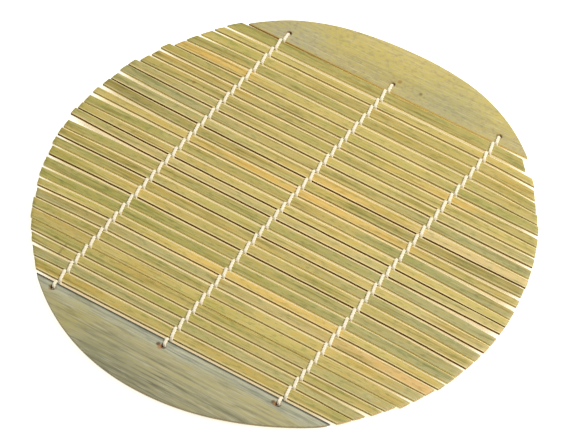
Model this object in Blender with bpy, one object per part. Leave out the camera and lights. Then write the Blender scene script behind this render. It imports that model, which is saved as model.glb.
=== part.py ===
"""Round bamboo draining mat.

Thirty split bamboo slats lie side by side between two half-moon end boards. Three cotton
strings hold them. Each string is doubled through a hole in the far board, its two strands
make half a turn round each other in every gap, so that every slat has one strand over it
and one under it, and they are knotted under a hole in the near board.

X runs along the slats, Y along the strings towards the far board, and Z is up. The mat
lies on the strands that pass under the slats.
"""
import math

import bmesh
import bpy
from mathutils import Vector

MM = 0.001

# The mat as a whole
MAT_RADIUS = 90 * MM
CLEARANCE = 0.3 * MM

# Split slats
SLAT_THICKNESS = 1.1 * MM
SLAT_CHAMFER = 0.25 * MM
SLAT_GAP = 1.1 * MM
BEND_POWER = 1.6
CHORD_TURN = -0.004
MIDDLE_TURN = -0.009
TURN_POWER = 0.7

# End boards, cut from the same flattened bamboo. A rim is given as its distance from the
# mat's middle, in millimetres, at even turns from its left end to its right one.
BOARD_CHAMFER = 0.2 * MM
RIM_STEPS = 32
FAR_CHORD = 68.35 * MM
FAR_ENDS = (-58.5 * MM, 60.5 * MM)
FAR_RIM = (90.15, 90.8, 90.1, 89.0, 88.75, 89.7, 90.9, 91.3, 91.1)
NEAR_GAP = 2.0 * MM
NEAR_ENDS = (-60.0 * MM, 60.0 * MM)
NEAR_RIM = (90.2, 90.5, 90.6, 90.3, 89.7, 89.2, 88.95, 89.3, 90.2)

# Drilled holes, three in each board
HOLE_RADIUS = 1.0 * MM
HOLE_SIDES = 14

# Strands of the doubled strings
STRAND_SIDES = 6
STRAND_WIDTH = 1.3 * MM
STRAND_THICKNESS = 0.8 * MM
PINCHED_WIDTH = 0.8 * MM
PINCHED_THICKNESS = 0.5 * MM
PINCHED_RISE = 0.35 * MM
TWINE_OFFSET = 0.55 * MM
KNOT_WIDTH = 2.2 * MM
KNOT_LENGTH = 0.8 * MM
HOLE_REACH = 1.0 * MM

# Heights, from the surface that the mat lies on
UNDER_HEIGHT = STRAND_THICKNESS / 2
SLAT_BOTTOM = STRAND_THICKNESS + CLEARANCE
SLAT_TOP = SLAT_BOTTOM + SLAT_THICKNESS
SLAT_MIDDLE = SLAT_BOTTOM + SLAT_THICKNESS / 2
OVER_HEIGHT = SLAT_TOP + CLEARANCE + STRAND_THICKNESS / 2

# A row for each slat, from the far board to the near one, in millimetres: its width, how
# far its left and its right free end lean towards the far board, how far its left and its
# right end reach past the mat's circle, and the bamboo's tone.
SLATS = (
    (3.85, -0.5, -0.6, 0.7, -2.1, "olive"),
    (2.90, -0.4, -0.75, 0.0, 0.0, "straw"),
    (3.50, -0.6, -1.3, -0.8, -0.8, "tan"),
    (3.60, -1.0, -1.4, -1.3, -1.1, "olive"),
    (3.80, -0.7, -0.65, -1.8, -0.7, "straw"),
    (3.45, 0.0, 0.1, -0.2, -0.3, "olive"),
    (3.05, -0.4, -0.5, -1.4, -0.4, "straw"),
    (3.60, -0.2, 0.0, -1.3, -0.5, "amber"),
    (3.35, 0.25, 0.2, 0.0, -0.5, "olive"),
    (3.35, 0.85, -0.3, -0.2, -0.6, "tan"),
    (3.40, 0.35, 0.15, -0.9, -0.5, "amber"),
    (3.50, 0.95, 0.35, -0.7, -0.8, "dark"),
    (2.75, 0.1, -0.3, -0.4, -0.6, "amber"),
    (3.65, -0.75, -1.3, -0.7, -0.35, "olive"),
    (3.05, -0.05, -0.8, -0.6, -0.2, "tan"),
    (3.10, 0.6, -0.1, 0.1, -0.2, "tan"),
    (3.50, -1.3, -1.5, -0.8, 0.0, "olive"),
    (3.30, -0.65, -0.9, -0.5, 0.0, "straw"),
    (3.05, -0.9, -1.5, -0.5, 0.0, "dark"),
    (3.65, -0.75, -1.2, -1.1, 0.0, "straw"),
    (3.60, -1.25, -1.5, -0.9, 0.1, "olive"),
    (3.35, -1.25, -0.8, -0.8, 0.3, "olive"),
    (2.75, -1.25, -0.8, -1.0, 0.5, "amber"),
    (3.60, -1.2, -0.55, -1.4, 0.0, "tan"),
    (3.50, -0.55, 0.05, -0.8, 0.0, "olive"),
    (3.25, -0.35, -0.65, -0.6, 0.3, "straw"),
    (3.40, -0.15, -0.1, -0.7, -0.8, "olive"),
    (2.95, -0.05, 0.1, -0.8, -0.8, "olive"),
    (3.30, -0.55, -0.6, -0.7, -0.8, "tan"),
    (3.55, -0.05, 0.1, -0.6, -0.7, "straw"),
)

# Each string: its name, and places along its line in millimetres, from its hole in the far
# board to its hole in the near one.
STRINGS = (
    ("string_left", (
        (-43.1, 72.3), (-44.04, 61.0), (-45.97, 38.0), (-47.42, 16.0), (-48.91, -6.0),
        (-50.02, -28.0), (-50.97, -50.0), (-51.28, -61.0), (-51.35, -69.6),
    )),
    ("string_middle", (
        (1.75, 71.7), (1.51, 61.0), (0.04, 38.0), (-1.16, 16.0), (-2.72, -6.0),
        (-3.9, -28.0), (-4.73, -50.0), (-5.16, -61.0), (-5.15, -69.9),
    )),
    ("string_right", (
        (46.85, 71.3), (47.17, 61.0), (46.09, 38.0), (44.95, 16.0), (43.73, -6.0),
        (42.73, -28.0), (41.8, -50.0), (41.25, -61.0), (40.75, -69.4),
    )),
)

# Colours as sRGB hex values, with the roughness of each finish
TONES = {
    "olive": "#B9AC66",
    "straw": "#C8B870",
    "tan": "#C1AC70",
    "amber": "#D8B568",
    "dark": "#AC9C5C",
}
BOARD_TONES = {"board_far": "#C0B478", "board_near": "#A8A37A"}
STRING_TONE = "#E9E2D0"
BAMBOO_ROUGHNESS = 0.55
COTTON_ROUGHNESS = 0.95


def clear_scene():
    """Empties the scene of objects."""
    for thing in list(bpy.data.objects):
        bpy.data.objects.remove(thing, do_unlink=True)


def linear(hex_colour):
    """Linear RGBA of an sRGB hex colour."""
    parts = [int(hex_colour[i:i + 2], 16) / 255 for i in (1, 3, 5)]
    return [p / 12.92 if p <= 0.04045 else ((p + 0.055) / 1.055) ** 2.4 for p in parts] + [1.0]


def finish(name, hex_colour, roughness):
    """Material of one plain colour."""
    material = bpy.data.materials.new(name)
    material.use_nodes = True
    shader = material.node_tree.nodes["Principled BSDF"]
    shader.inputs["Base Color"].default_value = linear(hex_colour)
    shader.inputs["Roughness"].default_value = roughness
    shader.inputs["Metallic"].default_value = 0.0
    return material


def loft(name, rings, material, looped=False):
    """Closed solid through rings of points, capped at both ends or joined end to end."""
    mesh = bpy.data.meshes.new(name)
    shape = bmesh.new()
    loops = [[shape.verts.new(point) for point in ring] for ring in rings]
    sides = len(rings[0])
    pairs = list(zip(loops, loops[1:]))
    if looped:
        pairs.append((loops[-1], loops[0]))
    else:
        shape.faces.new(loops[0])
        shape.faces.new(loops[-1])
    for here, there in pairs:
        for side in range(sides):
            beside = (side + 1) % sides
            shape.faces.new((here[side], here[beside], there[beside], there[side]))
    bmesh.ops.recalc_face_normals(shape, faces=shape.faces)
    shape.to_mesh(mesh)
    shape.free()
    solid = bpy.data.objects.new(name, mesh)
    solid.data.materials.append(material)
    bpy.context.collection.objects.link(solid)
    return solid


def turn_at(step):
    """Slope of a slat's line, from its place between the boards."""
    part = step / (len(SLATS) + 1)
    return CHORD_TURN * (1 - 2 * part) + MIDDLE_TURN * math.sin(math.pi * part ** TURN_POWER)


def hole_at(line, end):
    """Centre of the hole that a string's line starts from (end 0) or reaches (end -1)."""
    return line[end][0] * MM, line[end][1] * MM


def string_line(line, y):
    """X of a string's centre line at a distance y along the mat."""
    for (x_far, y_far), (x_near, y_near) in zip(line, line[1:]):
        if y > y_near * MM:
            break
    part = (y_far - y / MM) / (y_far - y_near)
    return (x_far + part * (x_near - x_far)) * MM


class Slat:
    """One split slat: its place, its slope, its leaning ends and where they are cut."""

    def __init__(self, step, far_edge, row):
        width, lean_left, lean_right, past_left, past_right, tone = row
        self.name = f"slat_{step:02d}"
        self.tone = tone
        self.width = width * MM
        self.turn = turn_at(step)
        self.y = far_edge - self.width / 2
        self.lean = {-1: lean_left * MM, 1: lean_right * MM}
        self.past = {-1: past_left * MM, 1: past_right * MM}
        self.held = {
            -1: string_line(STRINGS[0][1], self.y),
            1: string_line(STRINGS[2][1], self.y),
        }

    def end(self, side, y):
        """X of the cut end, where a line at y leaves the mat's circle."""
        return side * (math.sqrt(MAT_RADIUS ** 2 - y ** 2) + self.past[side])

    def middle(self, x):
        """Y of the slat's middle line."""
        side = 1 if x > 0 else -1
        free = self.end(side, self.y + self.lean[side]) - self.held[side]
        part = (x - self.held[side]) / free
        lean = self.lean[side] * part ** BEND_POWER if part > 0 else 0.0
        return self.y + self.turn * x + lean

    def edge(self, x, side):
        """Y of the near edge (side -1) or the far one (side 1)."""
        return self.middle(x) + side * self.width / 2

    def stations(self):
        """Places along the slat: its ends, half way to the strings, and the strings."""
        left = self.end(-1, self.y)
        right = self.end(1, self.y)
        half_left = (left + self.held[-1]) / 2
        half_right = (right + self.held[1]) / 2
        return [left, half_left, self.held[-1], self.held[1], half_right, right]

    def section(self):
        """Points round the section, as places across the slat and heights."""
        half = self.width / 2
        inner = half - SLAT_CHAMFER
        low = SLAT_BOTTOM + SLAT_CHAMFER
        high = SLAT_TOP - SLAT_CHAMFER
        return [
            (-inner, SLAT_BOTTOM), (inner, SLAT_BOTTOM), (half, low), (half, high),
            (inner, SLAT_TOP), (-inner, SLAT_TOP), (-half, high), (-half, low),
        ]

    def rings(self):
        """Rings along the slat, the end ones following the mat's circle."""
        stations = self.stations()
        rings = []
        for station in stations:
            ring = []
            for across, height in self.section():
                x = station
                if station in (stations[0], stations[-1]):
                    side = -1 if station < 0 else 1
                    x = self.end(side, self.middle(station) + across)
                ring.append(Vector((x, self.middle(x) + across, height)))
            rings.append(ring)
        return rings


class Chord:
    """The straight edge of an end board, which the strings cross like a slat's edge."""

    def __init__(self, y, step):
        self.y = y
        self.turn = turn_at(step)

    def edge(self, x, side):
        """Y of the straight edge. Both sides give the one edge that a board has."""
        return self.y + self.turn * x


def rim_reach(rim, part):
    """Distance of a rim from the mat's middle, on a smooth line through its table."""
    place = part * (len(rim) - 1)
    step = min(int(place), len(rim) - 2)
    share = place - step
    before, after = rim[max(step - 1, 0)], rim[min(step + 2, len(rim) - 1)]
    start, stop = rim[step], rim[step + 1]
    eased = share * share * (3 - 2 * share)
    rise = (stop - before) / 2 * share * (1 - share) ** 2
    fall = (after - start) / 2 * share ** 2 * (1 - share)
    return (start + eased * (stop - start) + rise - fall) * MM


def make_board(name, chord, ends, rim, outward, material):
    """Half-moon board: a straight edge, a round rim and three drilled holes."""
    turns = [math.atan2(x, outward * chord.edge(x, 0)) for x in ends]
    outline = [(ends[1], chord.edge(ends[1], 0))]
    for step in range(1, RIM_STEPS):
        part = 1 - step / RIM_STEPS
        turn = turns[0] + part * (turns[1] - turns[0])
        reach = rim_reach(rim, part)
        outline.append((reach * math.sin(turn), outward * reach * math.cos(turn)))
    outline.append((ends[0], chord.edge(ends[0], 0)))
    rings = [[Vector((x, y, z)) for x, y in outline] for z in (SLAT_BOTTOM, SLAT_TOP)]
    board = loft(name, rings, material)
    chamfer = board.modifiers.new("softened edges", "BEVEL")
    chamfer.width = BOARD_CHAMFER
    chamfer.segments = 1
    chamfer.limit_method = "ANGLE"
    chamfer.angle_limit = math.radians(40)
    for _, line in STRINGS:
        drill_hole(board, *hole_at(line, 0 if outward > 0 else -1))
    return board


def drill_hole(board, x, y):
    """Cuts one round hole through a board."""
    heights = (SLAT_BOTTOM - SLAT_THICKNESS, SLAT_TOP + SLAT_THICKNESS)
    rings = []
    for height in heights:
        ring = []
        for step in range(HOLE_SIDES):
            angle = 2 * math.pi * step / HOLE_SIDES
            across = HOLE_RADIUS * math.cos(angle)
            along = HOLE_RADIUS * math.sin(angle)
            ring.append(Vector((x + across, y + along, height)))
        rings.append(ring)
    drill = loft(f"{board.name}_drill", rings, board.data.materials[0])
    drill.hide_render = True
    drill.display_type = "WIRE"
    cut = board.modifiers.new("drilled hole", "BOOLEAN")
    cut.operation = "DIFFERENCE"
    cut.solver = "EXACT"
    cut.object = drill


def strand_ring(centre, direction, width, thickness):
    """Six points round a strand, with flat faces above and below its widest line."""
    direction = direction.normalized()
    across = Vector((1, 0, 0))
    across = (across - across.dot(direction) * direction).normalized()
    upward = direction.cross(across)
    flat = math.sin(math.pi / 3)
    ring = []
    for step in range(STRAND_SIDES):
        angle = 2 * math.pi * step / STRAND_SIDES
        side = across * math.cos(angle) * width / 2
        rise = upward * math.sin(angle) / flat * thickness / 2
        ring.append(centre + side + rise)
    return ring


def strand(line, members, starts_over):
    """Centres, directions and sizes of one strand, from the far hole to the near one."""
    steps = []
    last = len(members) - 1
    offset = 0.0
    far_hole = hole_at(line, 0)
    near_hole = hole_at(line, -1)
    for number, member in enumerate(members):
        over = 1 if (number % 2 == 0) == starts_over else -1
        height = OVER_HEIGHT if over > 0 else UNDER_HEIGHT
        middle = string_line(line, member.y)
        starts = far_hole[1] - HOLE_REACH
        ends = near_hole[1] + HOLE_REACH
        if number > 0:
            starts = member.edge(middle, 1) - CLEARANCE
        if number < last:
            ends = member.edge(middle, -1) + CLEARANCE
        next_offset = over * TWINE_OFFSET if number < last else 0.0
        gap = ends - CLEARANCE - SLAT_GAP / 2
        if number < last:
            gap = (member.edge(middle, -1) + members[number + 1].edge(middle, 1)) / 2
        before = steps[-1][0].y if steps else far_hole[1]
        after = gap if number < last else near_hole[1]
        places = [starts, ends]
        for y in places:
            part = (before - y) / (before - after)
            shift = offset + part * (next_offset - offset)
            centre = Vector((string_line(line, y) + shift, y, height))
            slant = Vector((next_offset - offset, after - before, 0))
            steps.append((centre, slant, STRAND_WIDTH, STRAND_THICKNESS))
        if number < last:
            x = string_line(line, gap) + next_offset
            for rise in (over * PINCHED_RISE, -over * PINCHED_RISE):
                centre = Vector((x, gap, SLAT_MIDDLE + rise))
                down = Vector((0, 0, -over))
                steps.append((centre, down, PINCHED_WIDTH, PINCHED_THICKNESS))
        offset = next_offset
    return steps


def through_hole(hole):
    """The doubled string's passage up through a board's hole."""
    steps = []
    for rise in (-PINCHED_RISE, PINCHED_RISE):
        centre = Vector((*hole, SLAT_MIDDLE + rise))
        steps.append((centre, Vector((0, 0, 1)), PINCHED_WIDTH, PINCHED_THICKNESS))
    return steps


def add_knot(steps):
    """Swells the end of the strand that runs under the near board into a flat knot."""
    centre, direction, _, thickness = steps[-1]
    knot_start = centre.copy()
    knot_start.y += KNOT_LENGTH
    steps[-1] = (knot_start, direction, KNOT_WIDTH, thickness)
    steps.append((centre, direction, KNOT_WIDTH, thickness))


def make_string(name, line, members, material):
    """One string: both strands, joined through the far hole and knotted at the near one."""
    outward = strand(line, members, True)
    add_knot(outward)
    back = strand(line, members, False)
    back = [(centre, -direction, width, thick) for centre, direction, width, thick in back]
    steps = outward + through_hole(hole_at(line, -1))
    steps += back[::-1] + through_hole(hole_at(line, 0))
    string = loft(name, [strand_ring(*step) for step in steps], material, looped=True)
    string.data.shade_smooth()
    string.data.set_sharp_from_angle(angle=math.radians(75))
    return string


def centre_on_origin(solids):
    """Moves the mat sideways, so that its box is centred over the origin."""
    points = [solid.matrix_world @ vertex.co for solid in solids for vertex in solid.data.vertices]
    middle_x = (min(p.x for p in points) + max(p.x for p in points)) / 2
    middle_y = (min(p.y for p in points) + max(p.y for p in points)) / 2
    mat = bpy.data.objects.new("mat_centre", None)
    bpy.context.collection.objects.link(mat)
    for thing in list(bpy.context.collection.objects):
        if thing is not mat:
            thing.parent = mat
    mat.location = (-middle_x, -middle_y, 0)


def main():
    """Makes the slats, the boards and the strings."""
    clear_scene()
    bamboo = {tone: finish(f"split bamboo {tone}", TONES[tone], BAMBOO_ROUGHNESS) for tone in TONES}
    slats = []
    far_edge = FAR_CHORD - SLAT_GAP
    for step, row in enumerate(SLATS, start=1):
        slat = Slat(step, far_edge, row)
        slats.append(slat)
        far_edge -= slat.width + SLAT_GAP
    near_chord = Chord(far_edge + SLAT_GAP - NEAR_GAP, len(SLATS) + 1)
    far_chord = Chord(FAR_CHORD, 0)
    solids = []
    for slat in slats:
        solids.append(loft(slat.name, slat.rings(), bamboo[slat.tone]))
    boards = (
        ("board_far", far_chord, FAR_ENDS, FAR_RIM, 1),
        ("board_near", near_chord, NEAR_ENDS, NEAR_RIM, -1),
    )
    for name, *sizes in boards:
        tone = finish(f"flattened bamboo {name}", BOARD_TONES[name], BAMBOO_ROUGHNESS)
        solids.append(make_board(name, *sizes, tone))
    cotton = finish("twisted cotton string", STRING_TONE, COTTON_ROUGHNESS)
    for name, line in STRINGS:
        solids.append(make_string(name, line, [far_chord, *slats, near_chord], cotton))
    centre_on_origin(solids)


main()
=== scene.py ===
"""Looks of the round bamboo draining mat: split slats, flattened end boards, cotton string.

Lengths are in metres. X runs along the slats, Y along the strings towards the far board, and
Z is up. The slats' outlines, the boards and the strings' lines are read from the frame.
"""
import math

import bmesh
import bpy
import numpy as np
from mathutils import Matrix, Vector


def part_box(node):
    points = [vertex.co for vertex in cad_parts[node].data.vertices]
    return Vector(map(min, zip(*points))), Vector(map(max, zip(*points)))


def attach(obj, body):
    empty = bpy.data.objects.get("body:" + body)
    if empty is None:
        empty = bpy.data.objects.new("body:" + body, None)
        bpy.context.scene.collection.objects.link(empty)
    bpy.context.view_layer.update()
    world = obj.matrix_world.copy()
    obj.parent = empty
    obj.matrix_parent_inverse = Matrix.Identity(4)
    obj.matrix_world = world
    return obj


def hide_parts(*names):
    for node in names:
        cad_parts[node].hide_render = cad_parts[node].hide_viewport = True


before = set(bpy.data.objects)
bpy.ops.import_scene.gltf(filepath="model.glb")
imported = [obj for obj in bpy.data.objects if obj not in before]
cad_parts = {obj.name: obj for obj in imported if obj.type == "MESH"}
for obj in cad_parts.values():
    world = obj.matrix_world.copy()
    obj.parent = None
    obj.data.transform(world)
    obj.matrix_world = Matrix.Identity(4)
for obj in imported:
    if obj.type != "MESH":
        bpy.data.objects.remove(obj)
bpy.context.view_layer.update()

MM = 0.001
SLAT_NAMES = sorted(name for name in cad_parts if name.startswith("slat_"))
STRING_NAMES = ("string_left", "string_middle", "string_right")

# Camera: the photograph's view, from a long lens in front and to the right
CAMERA_AZIMUTH = math.radians(31.72)
CAMERA_ELEVATION = math.radians(52.94)
CAMERA_ROLL = math.radians(0.34)
CAMERA_DISTANCE = 1.113
CAMERA_LENS = 199.05
CAMERA_TARGET = Vector((1.41, -1.16, 2.2)) * MM

# Light: the soft box behind the mat and the room; the floor's glow is painted light, warmer under the mat
# as light thrown back off the bamboo, and stronger round it, where it washes out the mat's shadow
KEY_TOWARDS = Vector((0.56, 0.42, 1.05))
KEY_DISTANCE = 1.2
KEY_SIZE = 0.45
KEY_POWER = 13.4
ROOM_LIGHT = 0.37
FLOOR_HALF = 3.0
FLOOR_LEVEL = -0.02 * MM
GLOW_UNDER = (0.47, "#FFEDC6")
GLOW_AROUND = (0.72, "#FFFEFA")
GLOW_EDGE = (83 * MM, 89 * MM)

# Split slats: their section's rounding and crown, how their sides waver, and how each end is
# closed, by a section that is drawn in a little and a cut that bulges a little
SLAT_STATIONS = 104
SLAT_AROUND = 29
SLAT_SIDE_POWER = 0.2
SLAT_FACE_POWER = 0.42
SLAT_CROWN = 0.05 * MM
SLAT_WAVE = 0.07 * MM
SLAT_LIFT = 0.04 * MM
SLAT_WAVE_LENGTH = 7 * MM
SLAT_LIFT_LENGTH = 33 * MM
SLAT_END_SECTION = 0.88
SLAT_END_BULGE = 0.2 * MM
RAIL_POINTS = 61
RAIL_ROUNDS = 8

# Cotton string: three plies, pressed flat where they lie on a slat
PLIES = 3
PLY_SIDES = 8
PLY_RADIUS = 0.35 * MM
PLY_OFFSET = 0.32 * MM
PLY_SQUASH = 0.55
PLY_PITCH = 3.6 * MM
STRING_STEP = 0.3 * MM

# How a strand lies: its distance from the twine's middle in a gap, its heights above a slat
# where it lies flat and at the shoulder, and how far those are from the slat's edge
TWINE_OFFSET = 0.6 * MM
STRING_RISE = 0.47 * MM
SHOULDER_LIFT = 0.33 * MM
SHOULDER_OUT = 0.28 * MM
FLAT_IN = 0.3 * MM

# The knot under the near board, and the string's two ends there, from the hole's passage
KNOT_STEPS = 36
KNOT_SHIFT = 1.2 * MM
KNOT_WIDTH = 0.32 * MM
KNOT_LENGTH = 0.3 * MM
KNOT_DEPTH = 0.18 * MM
FIRST_END = (
    Vector((0.5, -2.6, 0.0)) * MM, Vector((-0.3, -1.1, 0.0)) * MM, Vector((0.0, 0.2, 0.25)) * MM,
)
LAST_END = (Vector((0.9, -0.4, 0.0)) * MM, Vector((2.8, -1.5, 0.0)) * MM)

# How thick a slice of a string's solid is read at its end, and in a gap
END_SLICE = 0.05 * MM
GAP_SLICE = 0.5 * MM

# Drilled holes in the boards, tapered by the hot wire
HOLE_RADIUS = 0.9 * MM
HOLE_TAPER = ((-1.0, 0.5), (-0.55, 0.55), (0.35, 0.95), (0.55, 1.1), (1.0, 1.5))
HOLE_SIDES = 32
SCORCH_REACH = 0.45 * MM
PASSAGE_HALF = 0.25 * MM
PASSAGE_SHIFT = {1: Vector((-0.25, -0.65)) * MM, -1: Vector((0.3, 0.3)) * MM}

# Tones of split bamboo
TONES = {
    "olive": "#B6AB68",
    "dark": "#A69A5B",
    "grey": "#B0A977",
    "ash": "#BBB07A",
    "tan": "#C2B16E",
    "ochre": "#BCAC63",
    "straw": "#CCBB75",
    "pale": "#CBBB82",
    "amber": "#D8BD71",
    "orange": "#E0BF71",
    "pink": "#DBB87D",
    "cream": "#D9C38F",
}

# Each slat's tone at its left end, middle and right end, from the far board to the near
# one, and on some a patch of another tone, with where it starts and ends in millimetres
SLAT_TONES = (
    ("olive", "olive", "olive"),
    ("straw", "straw", "straw"),
    ("straw", "tan", "tan"),
    ("olive", "olive", "olive"),
    ("amber", "straw", "tan", ("orange", -66, -44)),
    ("olive", "tan", "olive", ("straw", 0, 34)),
    ("tan", "tan", "tan", ("amber", 16, 56)),
    ("tan", "tan", "straw"),
    ("ash", "straw", "ash", ("straw", 8, 46)),
    ("grey", "tan", "grey"),
    ("ash", "straw", "cream", ("orange", 2, 42)),
    ("dark", "tan", "dark", ("amber", 4, 16)),
    ("straw", "amber", "tan", ("orange", -2, 38)),
    ("olive", "olive", "grey", ("tan", 0, 26)),
    ("tan", "straw", "straw"),
    ("pale", "pale", "pale"),
    ("olive", "olive", "grey"),
    ("olive", "pale", "pale", ("straw", -40, 60)),
    ("olive", "tan", "grey"),
    ("ochre", "tan", "tan", ("straw", -74, -40)),
    ("olive", "olive", "grey"),
    ("olive", "olive", "grey"),
    ("straw", "amber", "straw", ("orange", -20, 44)),
    ("grey", "ash", "pink"),
    ("olive", "olive", "ash", ("straw", 12, 66)),
    ("tan", "straw", "tan", ("straw", 8, 50)),
    ("olive", "tan", "ash"),
    ("olive", "olive", "tan", ("tan", -60, 60)),
    ("grey", "ash", "ash"),
    ("ochre", "tan", "olive"),
)
TONE_REACH = 72 * MM
PATCH_FADE = 9 * MM

# Pale edges of the skin, partly wear and partly painted highlight where an edge catches the light: the
# attribute that says how much, the side, where across the slat it starts, and its strength
EDGE_WEAR_AND_HIGHLIGHT = (("far_pale", 1, 0.76, 0.95), ("near_dark", -1, 0.64, 0.65))
PALE_EDGE_FADE = 0.1

# Brown specks on the skin, a place and a radius, the cross mark of one culm joint, and the
# spacing of the fibre bundles that show at a sawn end
SPECKS = (
    (Vector((-60.0, 34.4, 2.2)) * MM, 0.9 * MM),
    (Vector((-55.6, 34.0, 2.2)) * MM, 0.55 * MM),
)
JOINT_MARK = Vector((-57.8, -53.6, 2.2)) * MM
JOINT_REACH = 2.6 * MM
JOINT_WIDTH = 0.45 * MM
BUNDLE_SPACING = 0.4 * MM

# How the gaps show: their width at mid mat, how deep the painted shade on the split side on their far
# side is, and how pale the edge on their near side, partly wear and partly painted highlight. Then the
# kind of each gap from the far board on.
FRAME_GAP = 1.1 * MM
LEAST_GAP = 0.28 * MM
GAP_KINDS = {
    "shut": (0.4 * MM, 0.25, 0.1),
    "tight": (0.62 * MM, 0.6, 0.15),
    "even": (0.78 * MM, 0.68, 0.4),
    "fine": (0.82 * MM, 0.2, 0.7),
    "pale": (0.98 * MM, 0.35, 0.9),
    "wide": (1.3 * MM, 0.2, 1.0),
    "both": (0.88 * MM, 0.6, 0.9),
    "dark": (0.8 * MM, 0.85, 0.85),
    "black": (0.75 * MM, 1.0, 0.7),
}
GAPS = (
    "shut", "wide", "both", "fine", "pale", "both", "both", "both", "both", "dark", "pale",
    "black", "both", "both", "pale", "black", "black", "pale", "black", "fine", "black", "fine",
    "fine", "dark", "both", "tight", "shut", "even", "even", "even", "even",
)
NEAR_BOARD_CLOSING = 0.42 * MM

# End boards: how much nearer the slats they reach, their depth from the straight edge, how
# their edges are softened, and how their rim is read from the frame's chamfered solids
BOARD_REACH = {"board_far": 0.3 * MM, "board_near": 0.4 * MM}
FAR_DEPTH = 20.6 * MM
NEAR_DEPTH = 22.8 * MM
BEVEL_INSET = 0.2 * MM
BEVEL_WIDTH = 0.3 * MM
BEVEL_STEPS = 3
BEVEL_ANGLE = math.radians(40)
SHARP_ANGLE = math.radians(35)
RIM_STEPS = 120
RIM_FROM = 88 * MM
FRAME_CHAMFER = 0.2 * MM

# Patches and marks on the boards: a place, how far it reaches, its tone and its strength
FAR_PATCHES = (
    ((-40.0 * MM, 72.0 * MM), 15.0 * MM, "#B6B39C", 0.6),
    ((24.0 * MM, 71.0 * MM), 17.0 * MM, "#B1AD88", 0.7),
    ((-8.0 * MM, 72.0 * MM), 10.0 * MM, "#B2A878", 0.4),
)
FAR_MARKS = (
    ((3.6 * MM, 74.6 * MM), 1.1 * MM, "#9A7236", 0.7),
    ((13.0 * MM, 73.6 * MM), 0.9 * MM, "#7F6E3A", 0.8),
)
NEAR_PATCHES = (
    ((-38.0 * MM, -75.5 * MM), 9.0 * MM, "#B4AB70", 0.6),
    ((-24.0 * MM, -84.0 * MM), 11.0 * MM, "#898C70", 0.5),
    ((16.0 * MM, -79.0 * MM), 12.0 * MM, "#B4AF8C", 0.5),
)
NEAR_MARKS = (
    ((-52.4 * MM, -69.1 * MM), 0.8 * MM, "#5A3A18", 0.6),
    ((-7.1 * MM, -69.5 * MM), 1.0 * MM, "#4A3216", 0.85),
    ((39.0 * MM, -68.9 * MM), 1.0 * MM, "#5A3A18", 0.8),
    ((-51.7 * MM, -69.8 * MM), 1.0 * MM, "#8F6A35", 0.6),
    ((-5.9 * MM, -70.2 * MM), 1.2 * MM, "#A9672B", 0.7),
    ((39.9 * MM, -69.3 * MM), 1.1 * MM, "#96682F", 0.7),
)


def linear(hex_colour):
    """Linear RGBA of an sRGB hex colour."""
    parts = [int(hex_colour[i:i + 2], 16) / 255 for i in (1, 3, 5)]
    return [p / 12.92 if p <= 0.04045 else ((p + 0.055) / 1.055) ** 2.4 for p in parts] + [1.0]


def add(tree, kind, inputs=None, output=0, stops=(), **settings):
    """Adds a node with its settings, fills or links its inputs, and gives one output.

    Colour stops, each a place from 0 to 1 and an sRGB hex colour, go to the node's own ramp.
    """
    made = tree.nodes.new(kind)
    for name, value in settings.items():
        setattr(made, name, value)
    for socket, value in (inputs or {}).items():
        if isinstance(value, bpy.types.NodeSocket):
            tree.links.new(value, made.inputs[socket])
        else:
            made.inputs[socket].default_value = value
    for number, (place, colour) in enumerate(stops):
        band = made.color_ramp.elements
        element = band[number] if number < len(band) else band.new(place)
        element.position = place
        element.color = linear(colour)
    return made.outputs[output] if made.outputs else made


def new_material(name):
    """A new material named for its finish, with its node tree and its shader."""
    material = bpy.data.materials.new(name)
    material.use_nodes = True
    return material, material.node_tree, material.node_tree.nodes["Principled BSDF"]


# Camera, floor and light


def make_camera():
    """The photograph's viewpoint, with its slight roll."""
    azimuth, elevation = CAMERA_AZIMUTH, CAMERA_ELEVATION
    back = Vector((
        math.sin(azimuth) * math.cos(elevation),
        -math.cos(azimuth) * math.cos(elevation),
        math.sin(elevation),
    ))
    right = Vector((math.cos(azimuth), math.sin(azimuth), 0))
    up = back.cross(right)
    rolled_right = right * math.cos(CAMERA_ROLL) + up * math.sin(CAMERA_ROLL)
    rolled_up = up * math.cos(CAMERA_ROLL) - right * math.sin(CAMERA_ROLL)
    camera = bpy.data.objects.new("camera", bpy.data.cameras.new("camera"))
    turn = Matrix((rolled_right, rolled_up, back)).transposed().to_4x4()
    camera.matrix_world = Matrix.Translation(CAMERA_TARGET + back * CAMERA_DISTANCE) @ turn
    camera.data.lens = CAMERA_LENS
    camera.data.clip_start = 0.05
    camera.data.clip_end = 20
    bpy.context.collection.objects.link(camera)
    bpy.context.scene.camera = camera


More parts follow.
